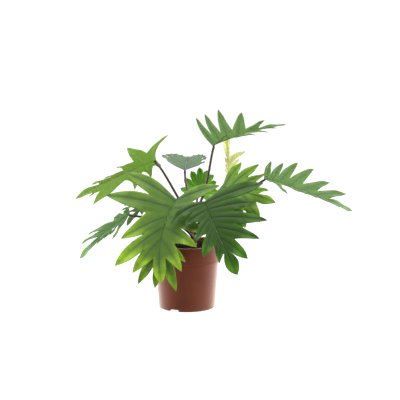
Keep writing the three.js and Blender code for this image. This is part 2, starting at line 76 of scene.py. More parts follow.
LEAVES = {
    "a": dict(
        at=(45, 20, 286), along=(0.9, 0.25, 0.39), faces=(-0.2, -0.33, 0.85),
        length=146, droop=18, fold=30, web=0.26, width=0.1, twist=0.1, green="mid",
        left=[(98, 69, 0, 0.8), (95, 69, 0, 0.9), (87, 69, 0), (65, 53, 0, 1.5), (28, 41, 0)],
        right=[(58, 47, -25, 1.3), (46, 48, 20), (38, 50, 30, 0.8), (30, 54, 30, 0.7), (26, 50, 20, 0.6)],
        height=162, out=0.9),
    "b": dict(
        at=(75, 40, 222), along=(-0.05, 0.05, 1), faces=(0.3, -0.9, 0.1),
        length=86, droop=5, fold=20, web=0.3, width=0.08, twist=0.1, green="young",
        starts=(0.02, 0.09, 0.18, 0.3), tip_start=0.38, tip_wide=2,
        left=[(40, 12, 0, 1.2), (34, 14, 0, 1.2), (28, 16, 0, 1.2), (26, 18, 0, 1.2)],
        right=[(60, 12, 0, 1.2), (50, 16, 0, 1.2), (44, 30, 8, 1.5, 0), (30, 42, 0, 1.3, -50)],
        height=150, out=0.9),
    "c": dict(
        at=(137, 10, 229), along=(0.95, 0.05, -0.27), faces=(0.1, -0.4, 0.9),
        length=172, droop=11, fold=18, web=0.28, width=0.12, twist=0.1, green="mid",
        starts=(0.02, 0.08, 0.16, 0.28, 0.42, 0.58), tip_start=0.7,
        left=[(90, 45, 0), (77, 52, 0), (70, 68, 0), (62, 72, 0), (46, 65, 0), (35, 65, 0)],
        right=[(82, 30, -10, 0.8), (66, 55, 15, 0.6), (26, 54, 5, 0.6), (24, 54, 5, 0.5),
               (22, 52, 5, 0.5), (26, 46, 5, 0.6)],
        height=138, out=0.9),
    "d": dict(
        at=(-54, 10, 261), along=(-0.85, 0.3, -0.34), faces=(-0.3, 0.65, 0.65),
        length=172, droop=12, fold=10, web=0.42, width=0.1, twist=0.1, green="light",
        left=[(111, 75, 0, 0.45, -60), (88, 53, 0, 2.2), (46, 38, 15), (22, 42, 10, 0.6), (20, 46, 5, 0.7)],
        right=[(90, 33, 10), (78, 38, 45), (60, 66, 25, 0.8), (30, 112, 10), (20, 74, 6, 0.6)],
        height=158, out=0.8),
    "e": dict(
        at=(-4, 40, 240), along=(0.05, 0.97, 0.2), faces=(0, -0.2, 0.97),
        length=112, droop=8, fold=24, web=0.7, width=0.16, green="grey",
        left=[(97, 49, -20), (80, 50, 0), (62, 50, 5), (48, 48, 5), (35, 42, 5)],
        right=[(100, 40, 0), (80, 44, 0), (62, 46, 5), (48, 46, 5), (35, 42, 5)],
        height=168, out=0.6),
    "f": dict(
        at=(-17, -60, 200), along=(-0.5, -0.364, -0.785), faces=(0, -0.9, 0.42),
        length=149, droop=15, bow=40, fold=6, web=0.42, width=0.125, twist=0.15, green="bright",
        left=[(146, 82, 10), (112, 82, 10), (92, 72, 10), (80, 66, 10), (48, 65, 10)],
        right=[(98, 100, 8), (82, 114, 8), (50, 88, 14), (42, 106, 10), (36, 75, 10)],
        height=148, out=0.7),
    "g": dict(
        at=(31, -70, 198), along=(0.33, -0.45, -0.83), faces=(0.05, -0.85, 0.5),
        length=138, droop=15, bow=10, fold=6, web=0.46, width=0.115, twist=0.15, green="deep",
        tip_start=0.58, tip_wide=1.4,
        left=[(97, 106, 6), (86, 84, 8, 0.75), (73, 96, 8, 0.8), (60, 78, 8, 0.85), (36, 59, 8, 1.4)],
        right=[(97, 70, 15, 1, 40), (80, 50, 15), (60, 50, 10), (49, 56, 10, 1.3), (30, 44, 8)],
        height=136, out=0.8),
    "h": dict(
        at=(62, -22, 217), along=(0.88, -0.3, -0.15), faces=(0.1, -0.75, 0.65),
        length=98, droop=15, fold=6, web=0.5, width=0.13, twist=0.3, green="bright", tone="sunny",
        starts=FOUR_STARTS, tip_start=0.5, tip_wide=1.2,
        left=[(83, 60, 4, 1.1), (67, 73, 7), (56, 74, 14, 0.4), (30, 48, 14)],
        right=[(112, 50, 8), (90, 70, 35), (70, 90, 30, 0.8), (50, 69, 20)],
        height=128, out=0.8),
    "i": dict(
        at=(-101, 0, 167), along=(-0.8, -0.05, -0.53), faces=(-0.5, -0.5, 0.7),
        length=124, droop=20, fold=8, web=0.3, width=0.13, twist=0.15, green="deep", tone="wet",
        starts=FOUR_STARTS, tip_start=0.5,
        left=[(44, 57, 10, 0.6), (32, 40, 10, 0.6), (28, 38, 10, 0.6), (26, 40, 5, 0.6)],
        right=[(100, 34, 50), (70, 42, 50), (32, 66, 12, 0.65), (25, 66, 8, 0.6)],
        height=130, out=0.9),
    "j": dict(
        at=(-38, -72, 156), along=(-0.15, -0.12, -0.98), faces=(-0.1, -0.98, 0.12),
        length=108, droop=5, fold=4, web=0.3, width=0.12, twist=0.2, green="bright",
        starts=FOUR_STARTS, tip_start=0.5,
        left=[(115, 34, 8), (90, 44, 8), (62, 55, 8), (34, 78, 8)],
        right=[(115, 45, 8), (90, 50, 8), (62, 56, 8), (30, 74, 8)],
        height=121, out=0.9),
    "k": dict(
        at=(-42, 66, 182), along=(-0.62, 0.72, -0.1), faces=(0, 0.1, 0.97),
        length=130, droop=45, fold=8, web=0.33, width=0.12, green="deep",
        left=BACK_LOBES, right=BACK_LOBES, height=149, out=0.9),
    "l": dict(
        at=(52, 68, 174), along=(0.5, 0.8, -0.1), faces=(0, 0.1, 0.97),
        length=125, droop=45, fold=8, web=0.33, width=0.12, green="mid",
        left=SIDE_LOBES, right=SIDE_LOBES, height=124, out=0.9),
    # Leaf n takes a tone of painted light: far brighter greens than its deep kind, because it sits in shade.
    "n": dict(
        at=(20, 50, 196), along=(0.35, 0.35, 0.87), faces=(0, -0.93, 0.35),
        length=48, droop=5, fold=8, web=0.6, width=0.17, twist=0.3, green="deep", tone="shaded",
        starts=FOUR_STARTS, tip_start=0.5,
        left=[(104, 34, 5), (78, 36, 5), (54, 36, 5), (32, 34, 5)],
        right=[(104, 36, 5), (78, 34, 5), (54, 32, 5), (34, 30, 5)],
        height=141, out=1),
}

# Form of a lobe
LOBE_TAPER = 0.95
LOBE_SWELL = 1.8
LOBE_FILL = 0.87
TIP_WIDTH_SHARE = 0.65
EDGE_RISE = 0.15
RISE_POWER = 1.6
RISE_FADE = 6
EDGE_WAVE = 1.5
EDGE_WAVES = 1.1
NOTCH_FADE = 3
WEB_BULGE = 0.7

# How finely a lobe is divided
HALF_COLUMNS = 8
COLUMN_POWER = 1.5
WEB_ROWS = 10
WEB_POWER = 1.5
FREE_ROWS = 22
TIP_POWER = 1.2
MIDRIB_STEPS = 60
MERGE_WITHIN = 0.02

# Thickness of a blade, with its veins sunk above and standing out below
BLADE_THICKNESS = 0.5
RIB_THICKNESS = 1.5
GROOVE_DEPTH = 0.3
VEIN_WIDTH = 1.3
VEIN_DEPTH_SHARE = 0.7
VEIN_LOSS = 0.9
MIDRIB_WIDTH = 1.9
MIDRIB_LOSS = 0.8
LEAST_DEPTH_SHARE = 0.001

# How late the margin's look sets in toward a lobe's tip
POINT_POWER = 4


def heading(rise, turn):
    """A unit direction from its rise and its turn to the left, in radians."""
    return Vector((math.cos(rise) * math.cos(turn), math.cos(rise) * math.sin(turn), math.sin(rise)))


def arc(length, rise, turn, t):
    """How far an arc that sets off along x has got at t, when it rises and turns this far by its end."""
    half = math.hypot(rise, turn) * t / 2
    bend = math.sin(half) / half if half else 1
    return heading(rise * t / 2, turn * t / 2) * (length * t * bend)


def in_frame(axes, point):
    along, side, up = axes
    return along * point.x + side * point.y + up * point.z


def lobe_shape(q):
    """How wide a lobe is, from its notch at q = 0 to its tip at q = 1."""
    return LOBE_FILL * (1 - q) ** LOBE_TAPER * (1 + LOBE_SWELL * q)


class Blade:
    """The surface of one leaf, in millimetres."""

    def __init__(self, plan):
        self.base = Vector(plan["at"])
        self.length = plan["length"]
        self.droop = math.radians(-plan["droop"])
        self.bow = math.radians(plan.get("bow", 0))
        self.fold = math.radians(plan["fold"])
        self.web = plan["web"]
        self.width = plan["width"]
        self.tip_width = TIP_WIDTH_SHARE * plan.get("tip_wide", 1)
        self.lobes = {hand: [lobe + USUAL_WIDTH_AND_HOOK[len(lobe) - 3:] for lobe in plan[side]]
                      for hand, side in ((1, "left"), (-1, "right"))}
        self.twist = plan.get("twist", USUAL_TWIST)
        self.starts = plan.get("starts", USUAL_STARTS)
        self.tip_start = plan.get("tip_start", USUAL_TIP_START)
        along = Vector(plan["along"]).normalized()
        faces = Vector(plan["faces"])
        up = (faces - along * faces.dot(along)).normalized()
        self.axes = (along, up.cross(along), up)
        self.tip = len(self.starts)
        self.ribs = [self.midrib(step / MIDRIB_STEPS)[0] for step in range(MIDRIB_STEPS + 1)]

    def midrib(self, s):
        point = in_frame(self.axes, arc(self.length, self.droop, self.bow, s)) + self.base
        along = in_frame(self.axes, heading(self.droop * s, self.bow * s))
        side = in_frame(self.axes, Vector((-math.sin(self.bow * s), math.cos(self.bow * s), 0)))
        return point, along, side, along.cross(side)

    def vein(self, hand, lobe, t):
        """A lobe's vein at t: its place, the way across toward the leaf's tip, and the way up."""
        if lobe == self.tip:
            point, _, side, up = self.midrib(self.tip_start + (1 - self.tip_start) * t)
            return point, side, up
        angle, length, sag, _, hook = self.lobes[hand][lobe]
        point, along, side, up = self.midrib(self.starts[lobe])
        out = side * (hand * math.cos(self.fold)) + up * math.sin(self.fold)
        sets_off = along * math.cos(math.radians(angle)) + out * math.sin(math.radians(angle))
        above = up * math.cos(self.fold) - side * (hand * math.sin(self.fold))
        axes = (sets_off, above.cross(sets_off), above)
        rise = math.radians(-sag)
        turn = -hand * math.radians(hook)
        ahead = in_frame(axes, heading(rise * t, turn * t))
        across = above.cross(ahead).normalized() * -hand
        return point + in_frame(axes, arc(length, rise, turn, t)), across, across.cross(ahead) * hand

    def lobe_length(self, hand, lobe):
        if lobe == self.tip:
            return self.length * (1 - self.tip_start)
        return self.lobes[hand][lobe][1]

    def half_width(self, hand, lobe):
        if lobe == self.tip:
            return self.width * self.length * self.tip_width
        return self.width * self.lobe_length(hand, lobe) * self.lobes[hand][lobe][3]

    def root(self, lobe, side):
        """Where on the midrib the web on one side of a lobe starts."""
        if lobe == self.tip:
            return self.tip_start
        beyond = lobe + side
        if beyond < 0:
            return 0
        if beyond == self.tip:
            return self.tip_start
        return (self.starts[lobe] + self.starts[beyond]) / 2

    def web_line(self, hand, lobe, r):
        """The line in the web past a lobe, from the midrib at r = 0 to the notch at r = 1."""
        middle = (self.vein(hand, lobe, self.web * r)[0] + self.vein(hand, lobe + 1, self.web * r)[0]) / 2
        start = (self.vein(hand, lobe, 0)[0] + self.vein(hand, lobe + 1, 0)[0]) / 2
        return middle + (self.midrib(self.root(lobe, 1))[0] - start) * (1 - r)

    def web_edge(self, hand, lobe, side, r):
        if lobe == self.tip:
            return self.web_line(side, lobe - 1, r)
        if side > 0:
            return self.web_line(hand, lobe, r)
        if lobe > 0:
            return self.web_line(hand, lobe - 1, r)
        point, across, _ = self.vein(hand, lobe, self.web * r)
        pull = self.midrib(0)[0] - self.vein(hand, lobe, 0)[0]
        return point - across * (self.half_width(hand, lobe) * r) + pull * (1 - r)

    def midrib_distance(self, point):
        return min((point - place).length for place in self.ribs)

    def lobe_rows(self, hand, lobe):
        """The lobe as rows of places. Each has its distance across and along the vein, its share of the way
        to the margin and to the lobe's tip, and the way up."""
        half = self.half_width(hand, lobe)
        length = self.lobe_length(hand, lobe)
        home, home_across, _ = self.vein(hand, lobe, self.web)
        notches = {side: self.web_edge(hand, lobe, side, 1) for side in (-1, 1)}
        start = self.starts[lobe] if lobe < self.tip else self.tip_start
        rows = []
        for row in range(WEB_ROWS + FREE_ROWS + 1):
            r = min(row / WEB_ROWS, 1) ** WEB_POWER
            q = 1 - (1 - max(row - WEB_ROWS, 0) / FREE_ROWS) ** TIP_POWER
            t = self.web * r + (1 - self.web) * q
            middle, across, up = self.vein(hand, lobe, t)
            edges = {side: self.web_edge(hand, lobe, side, r) for side in (-1, 1)}
            places = []
            for step in range(-HALF_COLUMNS, HALF_COLUMNS + 1):
                share = (abs(step) / HALF_COLUMNS) ** COLUMN_POWER
                side = 1 if step > 0 else -1
                bulge = WEB_BULGE * math.sin(math.pi * share) * (r if q == 0 else (1 - q) ** 2)
                if q == 0:
                    place = middle.lerp(edges[side], share)
                    on_rib = self.midrib(start + (self.root(lobe, side) - start) * share)[0]
                    chord = self.midrib(start)[0].lerp(self.midrib(self.root(lobe, side))[0], share)
                    place += (on_rib - chord) * (1 - r) ** 2
                else:
                    wide = half * lobe_shape(q)
                    slack = notches[side] - home - home_across * (side * half * lobe_shape(0))
                    wave = EDGE_WAVE * 4 * q * (1 - q) * math.sin(2 * math.pi * EDGE_WAVES * q + lobe + side)
                    lean = EDGE_RISE + self.twist * (-1 if lobe == self.tip else side)
                    rise = lean * wide * share ** RISE_POWER + wave * share ** 2
                    rise *= 1 - (1 - q) ** RISE_FADE
                    place = middle + across * (side * wide * share) + up * rise
                    place += slack * (share * (1 - q) ** NOTCH_FADE)
                place += up * bulge
                apart = (place - middle).dot(across)
                places.append((place, apart, length * t, share * (r if q == 0 else 1), q, up))
            rows.append(places)
        return rows


def rib_weight(distance, width, share):
    """How much of a rib's share of the full depth there is this far from its middle line."""
    if distance >= width:
        return 0.0
    return (0.5 + 0.5 * math.cos(math.pi * distance / width)) * share


def placed(bm, name, finishes=()):
    """Makes an object of a mesh that is in place, in metres."""
    mesh = bpy.data.meshes.new(name)
    bm.to_mesh(mesh)
    bm.free()
    for finish in finishes:
        mesh.materials.append(finish)
    made = bpy.data.objects.new(name, mesh)
    bpy.context.scene.collection.objects.link(made)
    return made


def moved(*place):
    """The move from the origin to a place."""
    return Matrix.Translation(Vector(place) * MM)


def turned(angle, axis="Z"):
    """The turn about an axis through the origin."""
    return Matrix.Rotation(angle, 4, axis)


def lay_flat(faces, plane, flat):
    """Writes where each corner lies on the piece's own plane."""
    for face in faces:
        for loop in face.loops:
            loop[plane].uv = flat[loop.vert]


def put(bm, name, finishes, replaced):
    """Makes a smooth piece that takes the place of these nodes."""
    piece = placed(bm, name, finishes)
    piece.data.shade_smooth()
    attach(piece, "root")
    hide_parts(*replaced)
    return piece


# Materials

# Noise patterns: the form of each, between which values and how much it shows, and its colour as it is seen,
# 0 to 255. A pattern lies in the object's space or on the piece's own plane.
PATTERNS = {
    "leaf_cloud": dict(scale=34, detail=3),
    "leaf_grain": dict(scale=900, detail=3, rough=0.6),
    "leaf_mottle": dict(scale=58, detail=4, rough=0.6, low=0.48, high=0.66, share=0.35),
    "stalk_streak": dict(plane="stalk", scale=3, detail=5, rough=0.6, stretch=(6.0, 0.03, 1),
                         low=0.35, high=0.7, colour=(66, 40, 38)),
    "stalk_blotch": dict(scale=90, detail=3, low=0.55, high=0.75, share=0.4, colour=(84, 62, 48)),
    "bark_streak": dict(scale=1, detail=5, rough=0.65, stretch=(320, 320, 28), low=0.38, high=0.68,
                        colour=(150, 120, 88)),
    "bark_ring": dict(scale=1, detail=2, stretch=(20, 20, 260), low=0.55, high=0.7, share=0.7,
                      colour=(44, 30, 22)),
    "bark_speck": dict(scale=700, detail=3, low=0.6, high=0.72, share=0.6, colour=(176, 150, 112)),
    "paper_fibre": dict(plane="stalk", scale=4, detail=5, rough=0.6, stretch=(14, 0.6, 1),
                        low=0.4, high=0.66, colour=(158, 122, 76)),
    "paper_stain": dict(scale=160, detail=4, low=0.52, high=0.72, share=0.8, colour=(104, 72, 44)),
    "peat_clod": dict(scale=140, detail=6, rough=0.65, low=0.35, high=0.7, colour=(34, 24, 16)),
    "peat_grain": dict(scale=900, detail=4, rough=0.6, low=0.55, high=0.75, colour=(52, 38, 26)),
    "peat_fibre": dict(scale=1, detail=2, stretch=(1400, 160, 700), low=0.72, high=0.8, colour=(110, 86, 58)),
    "plastic_cloud": dict(scale=26, detail=4, low=0.35, high=0.65, colour=(93, 39, 14)),
    "plastic_flow": dict(scale=1, detail=4, rough=0.6, stretch=(60, 60, 9), low=0.45, high=0.7, share=0.2,
                         colour=(108, 50, 26)),
    "plastic_grain": dict(scale=2600, detail=2),
    "plastic_speck": dict(scale=620, detail=3, low=0.45, high=0.7),
}
USUAL_NOISE_ROUGHNESS = 0.5
NOISE_MIDDLE = 0.5
CLOUD_RANGE = (0.3, 0.7)

# Finishes: the ground colour, the roughness, or its two ends where clouding moves it, the specular level, and
# the bump's depth in metres and its strength
FINISHES = {
    "leaf_upper": dict(roughness=(0.44, 0.56), specular=0.22, bump=(0.0002, 0.25)),
    "leaf_under": dict(roughness=(0.54, 0.66), specular=0.15, bump=(0.0002, 0.25)),
    "stalk": dict(ground=(34, 20, 22), roughness=0.4, specular=0.3, bump=(0.0003, 0.5)),
    "bark": dict(ground=(58, 40, 28), roughness=0.8, specular=0.5, bump=(0.0006, 0.8)),
    "paper": dict(ground=(222, 200, 150), roughness=0.75, specular=0.5, bump=(0.0004, 0.8)),
    "peat": dict(ground=(12, 9, 6), roughness=0.95, specular=0.1, bump=(0.0015, 1.0)),
    "plastic": dict(ground=(87, 34, 10), roughness=(0.34, 0.4), specular=0.08, bump=(0.00012, 0.6)),
}


def linear(colour):
    """A colour as it is seen, 0 to 255, as the shader's linear values."""
    shares = [value / 255 for value in colour]
    return (*[s / 12.92 if s <= 0.04045 else ((s + 0.055) / 1.055) ** 2.4 for s in shares], 1)


class Nodes:
    """The nodes of a material or of the world."""

    def __init__(self, tree):
        self.tree = tree

    def add(self, kind, inputs, **settings):
        made = self.tree.nodes.new("ShaderNode" + kind)
        for key, value in settings.items():
            setattr(made, key, value)
        for key, value in inputs.items():
            if isinstance(value, bpy.types.NodeSocket):
                self.tree.links.new(value, made.inputs[key])
            else:
                made.inputs[key].default_value = value
        return made

    def math(self, operation, first, second=0.0, third=0.0):
        return self.add("Math", {0: first, 1: second, 2: third}, operation=operation).outputs[0]

    def times(self, first, second, plus=0.0):
        return self.math("MULTIPLY_ADD", first, second, plus)

    def span(self, value, low, high, start=0.0, end=1.0):
        """A value's smooth way from start at low to end at high."""
        inputs = {"Value": value, "From Min": low, "From Max": high, "To Min": start, "To Max": end}
        return self.add("MapRange", inputs, interpolation_type="SMOOTHSTEP").outputs[0]

    def mix(self, share, first, second):
        return self.add("Mix", {0: share, 6: first, 7: second}, data_type="RGBA").outputs[2]

    def parts(self, place):
        return self.add("SeparateXYZ", {"Vector": place}).outputs

    def place(self, kind="Object"):
        """A point's place in metres, or with Generated the way to it in the room."""
        return self.add("TexCoord", {}).outputs[kind]


class Finish(Nodes):
    """A material, whose values may be those of one of the finishes."""

    def __init__(self, name, kind=None):
        self.values = FINISHES.get(kind)
        self.material = bpy.data.materials.new(name)
        self.material.use_nodes = True
        super().__init__(self.material.node_tree)
        self.tree.nodes.clear()

    def plane(self, name):
        """The place on the piece's own plane."""
        return self.add("UVMap", {}, uv_map=name).outputs[0]

    def attribute(self, name):
        return self.add("Attribute", {}, attribute_name=name).outputs["Fac"]

    def noise(self, name):
        pattern = PATTERNS[name]
        place = self.plane(pattern["plane"]) if "plane" in pattern else self.place()
        if "stretch" in pattern:
            place = self.add("Mapping", {"Vector": place, "Scale": pattern["stretch"]}).outputs[0]
        inputs = {"Vector": place, "Scale": pattern["scale"], "Detail": pattern["detail"],
                  "Roughness": pattern.get("rough", USUAL_NOISE_ROUGHNESS)}
        return self.add("TexNoise", inputs).outputs["Fac"]

    def shows(self, name, noise):
        """How much a pattern shows, from its noise."""
        pattern = PATTERNS[name]
        return self.span(noise, pattern["low"], pattern["high"], 0.0, pattern.get("share", 1.0))

    def layers(self, noises):
        """The ground's colour with those of patterns laid over it, one after the other."""
        colour = linear(self.values["ground"])
        for name, noise in noises.items():
            colour = self.mix(self.shows(name, noise), colour, linear(PATTERNS[name]["colour"]))
        return colour

    def bump(self, height):
        distance, strength = self.values["bump"]
        return self.add("Bump", {"Height": height, "Distance": distance, "Strength": strength}).outputs[0]

    def surface(self, colour, normal, **more):
        inputs = {"Base Color": colour, "Roughness": self.values["roughness"], "Normal": normal,
                  "Specular IOR Level": self.values["specular"]}
        return self.add("BsdfPrincipled", {**inputs, **more}).outputs[0]

    def lit_through(self, surface, share, colour, normal):
        """A surface that lets this share of the light through."""
        through = self.add("BsdfTranslucent", {"Color": colour, "Normal": normal}).outputs[0]
        return self.add("MixShader", {0: share, 1: surface, 2: through}).outputs[0]

    def end(self, shader):
        output = self.tree.nodes.new("ShaderNodeOutputMaterial")
        self.tree.links.new(shader, output.inputs["Surface"])
        return self.material


# Greens of each kind of leaf: along the veins, between them, at the lobes' tips, and on the under side
GREENS = {
    "mid": ((54, 82, 34), (72, 107, 38), (98, 136, 50), (118, 148, 82)),
    "light": ((174, 172, 122), (118, 156, 56), (144, 184, 74), (138, 176, 78)),
    "grey": ((54, 75, 52), (69, 92, 62), (86, 109, 75), (122, 144, 102)),
    "bright": ((54, 82, 44), (82, 111, 46), (152, 190, 40), (116, 150, 72)),
    "sunny": ((50, 80, 16), (80, 118, 4), (142, 180, 22), (116, 152, 50)),
    "deep": ((32, 54, 18), (40, 70, 12), (62, 112, 0), (98, 126, 72)),
    "wet": ((30, 58, 4), (42, 84, 0), (76, 124, 0), (86, 122, 40)),
    # The tone for leaf n is painted light: its deep green made far brighter to make up for the shade it sits
    # in behind leaves f and g.
    "shaded": ((98, 144, 52), (126, 182, 60), (136, 194, 60), (110, 140, 70)),
    "young": ((190, 184, 118), (234, 238, 186), (242, 244, 204), (222, 226, 174)),
}
# How much of the light goes through each kind of leaf
THROUGH = {
    "mid": 0.28, "light": 0.4, "grey": 0.25, "bright": 0.3, "sunny": 0.28, "deep": 0.16, "wet": 0.14,
    "shaded": 0.45, "young": 0.45}

# Side veins, and the share of the way to the margin over which they fade
VEIN_SPACING = 6.5
VEIN_SLANT = 0.6
VEIN_WANDER = 16.0
VEIN_LINE = 1.3
VEIN_ENDS = (0.3, 0.95)

# Band of the veins' colour beside a vein: its width, and its share low down on the plant
VEIN_BAND = 6.0
LOW_BAND_SHARE = 0.45

# Where the bright tips and margins set in, how much the clouding moves that, and their share high up
TIP_RANGE = (0.3, 1.0)
MARGIN_RANGE = (0.3, 1.1)
MARGIN_SHARE = 0.45
CLOUD_SHIFT = 0.9
HIGH_TIP_SHARE = 0.22
HIGH_MARGIN_SHARE = 0.6

# The heights, in metres, between which the lobes lose their brightness
LOW_PLANT_BELOW = 0.1
HIGH_PLANT_ABOVE = 0.19

# Shares of the colour of the band beside a vein, of the side veins and of the ribs
UPPER_SHARES = (0.6, 0.16, 0.6)
UNDER_SHARES = (0.5, 0.3, 0.7)

# The bump's parts, and the share of the tips' colour in the light that comes through
GRAIN_SHARE = 0.05
QUILT_SHARE = 0.5
THROUGH_BRIGHT = 0.6


def leaf_finish(kind, under):
    """Leaf blade: the veins' colour along its ribs, brighter lobe tips and margins, most of all low on the
    plant, and faint side veins and soft clouding between. It lets light through."""
    veins, between, bright, below = (linear(colour) for colour in GREENS[kind])
    band_share, line_share, rib_share = UNDER_SHARES if under else UPPER_SHARES
    side = "under" if under else "upper"
    finish = Finish(f"leaf_{kind}_{side}", f"leaf_{side}")
    across, along, _ = finish.parts(finish.plane("blade"))
    across = finish.math("ABSOLUTE", across)
    height = finish.parts(finish.place())[2]
    cloud = finish.noise("leaf_cloud")
    clouded = finish.math("SUBTRACT", cloud, NOISE_MIDDLE)
    edge = finish.attribute("margin")
    rib = finish.attribute("rib")

    def by_height(value, low_down, high_up):
        return finish.times(value, finish.span(height, LOW_PLANT_BELOW, HIGH_PLANT_ABOVE, low_down, high_up))

    slanted = finish.times(across, -VEIN_SLANT, along)
    comb = finish.math("PINGPONG", finish.times(cloud, VEIN_WANDER, slanted), VEIN_SPACING / 2)
    side_vein = finish.span(comb, 0.0, VEIN_LINE, 1.0, 0.0)
    side_vein = finish.times(side_vein, finish.span(edge, *VEIN_ENDS, 1.0, 0.0))
    band = finish.span(finish.times(clouded, VEIN_BAND, across), 0.0, VEIN_BAND, 1.0, 0.0)
    band = finish.times(by_height(band, LOW_BAND_SHARE, 1.0), band_share)
    reach = finish.times(clouded, CLOUD_SHIFT, finish.attribute("reach"))
    outward = by_height(finish.span(reach, *TIP_RANGE), 1.0, HIGH_TIP_SHARE)
    at_margin = finish.times(clouded, CLOUD_SHIFT, edge)
    at_margin = by_height(finish.span(at_margin, *MARGIN_RANGE, 0.0, MARGIN_SHARE), 1.0, HIGH_MARGIN_SHARE)
    toward_edge = finish.math("MAXIMUM", outward, at_margin)
    lines = finish.times(side_vein, line_share)
    if under:
        plain = finish.mix(toward_edge, below, bright)
        lined = finish.mix(lines, plain, between)
        at_vein = finish.math("MAXIMUM", rib, band)
        colour = finish.mix(finish.times(at_vein, rib_share), lined, veins)
    else:
        plain = finish.mix(toward_edge, between, bright)
        mottled = finish.mix(finish.shows("leaf_mottle", finish.noise("leaf_mottle")), plain, veins)
        lined = finish.mix(lines, finish.mix(band, mottled, veins), veins)
        colour = finish.mix(finish.times(rib, rib_share), lined, veins)

    fine = finish.times(finish.noise("leaf_grain"), GRAIN_SHARE)
    quilt = finish.times(side_vein, QUILT_SHARE if under else -QUILT_SHARE, fine)
    normal = finish.bump(quilt)
    shine = finish.span(cloud, *CLOUD_RANGE, *finish.values["roughness"])
    surface = finish.surface(colour, normal, Roughness=shine)
    through = finish.mix(THROUGH_BRIGHT, colour, bright)
    return finish.end(finish.lit_through(surface, THROUGH[kind], through, normal))


# How far along a stalk its green sets in and is full, and how much the blotches move that
STALK_GREEN = (112, 118, 66)
STALK_GREEN_RANGE = (1.15, 1.55)
STALK_GREEN_SHIFT = 0.5


def stalk_finish():
    """Leaf stalk: nearly black maroon, streaked lengthwise, greener toward the blade."""
    finish = Finish("petiole_maroon", "stalk")
    noises = {name: finish.noise(name) for name in ("stalk_streak", "stalk_blotch")}
    along = finish.parts(finish.plane("stalk"))[1]
    along = finish.times(noises["stalk_blotch"], STALK_GREEN_SHIFT, along)
    green = finish.span(along, *STALK_GREEN_RANGE)
    colour = finish.mix(green, finish.layers(noises), linear(STALK_GREEN))
    return finish.end(finish.surface(colour, finish.bump(noises["stalk_streak"])))


def layered_finish(name, kind, layers, raised, through=0):
    """Patterns over a ground, some of them raised. The material may let a share of the light through."""
    finish = Finish(name, kind)
    noises = {layer: finish.noise(layer) for layer in layers}
    height = noises[raised[0]]
    for layer in raised[1:]:
        height = finish.math("ADD", height, noises[layer])
    colour = finish.layers(noises)
    normal = finish.bump(height)
    surface = finish.surface(colour, normal)
    if through:
        surface = finish.lit_through(surface, through, colour, normal)
    return finish.end(surface)


# Dust on the pot, between heights in metres, the flow lines' part in the bump, and the sheen
DUST_LOW_END = 0.012
DUST_RIM = (0.1128, 0.114)
DUST_SHARE = 0.3
DUST_ROUGHENS = 0.3
DUST = (150, 112, 92)
FLOW_BUMP = 2.0
SHEEN_ROUGHNESS = 0.42
SHEEN_TINT = (255, 228, 220)
POT_SHEEN = 1.0
# The faces under the rim band take a copy of the finish with almost no sheen, so that they stay dark where
# they face the bright floor: painted shade.
SHOULDER_SHADE_SHEEN = 0.1

# How much of the light goes through the dry sheaths
SHEATH_THROUGH = 0.25


def pot_finish(name, sheen):
    """Moulded plastic: satin red brown with a fine grain and a sheen, and a little dust low down and on the
    rim's edge."""
    finish = Finish(name, "plastic")
    height = finish.parts(finish.place())[2]
    noises = {pattern: finish.noise(pattern) for pattern in ("plastic_cloud", "plastic_flow")}
    low = finish.span(height, 0.0, DUST_LOW_END, DUST_SHARE, 0.0)
    rim = finish.span(height, *DUST_RIM, 0.0, DUST_SHARE)
    specks = finish.shows("plastic_speck", finish.noise("plastic_speck"))
    dusty = finish.times(finish.math("ADD", low, rim), specks)
    colour = finish.mix(dusty, finish.layers(noises), linear(DUST))
    clean = finish.span(noises["plastic_cloud"], *CLOUD_RANGE, *finish.values["roughness"])
    shine = finish.times(dusty, DUST_ROUGHENS, clean)
    grained = finish.times(noises["plastic_flow"], FLOW_BUMP, finish.noise("plastic_grain"))
    return finish.end(finish.surface(colour, finish.bump(grained), **{
        "Roughness": shine, "Sheen Weight": sheen, "Sheen Roughness": SHEEN_ROUGHNESS,
        "Sheen Tint": linear(SHEEN_TINT)}))


leaf_materials = {kind: [leaf_finish(kind, under) for under in (False, True)] for kind in GREENS}
stalk_material = stalk_finish()
bark_material = layered_finish("stem_bark", "bark", ("bark_streak", "bark_ring", "bark_speck"),
                               ("bark_streak", "bark_speck"))
sheath_material = layered_finish("dry_sheath", "paper", ("paper_fibre", "paper_stain"), ("paper_fibre",),
                                 SHEATH_THROUGH)
soil_material = layered_finish("potting_soil", "peat", ("peat_clod", "peat_grain", "peat_fibre"),
                               ("peat_clod", "peat_grain"))
pot_material = pot_finish("pot_plastic", POT_SHEEN)
shoulder_shade_material = pot_finish("pot_plastic_shoulder_shade", SHOULDER_SHADE_SHEEN)


# Leaf blades

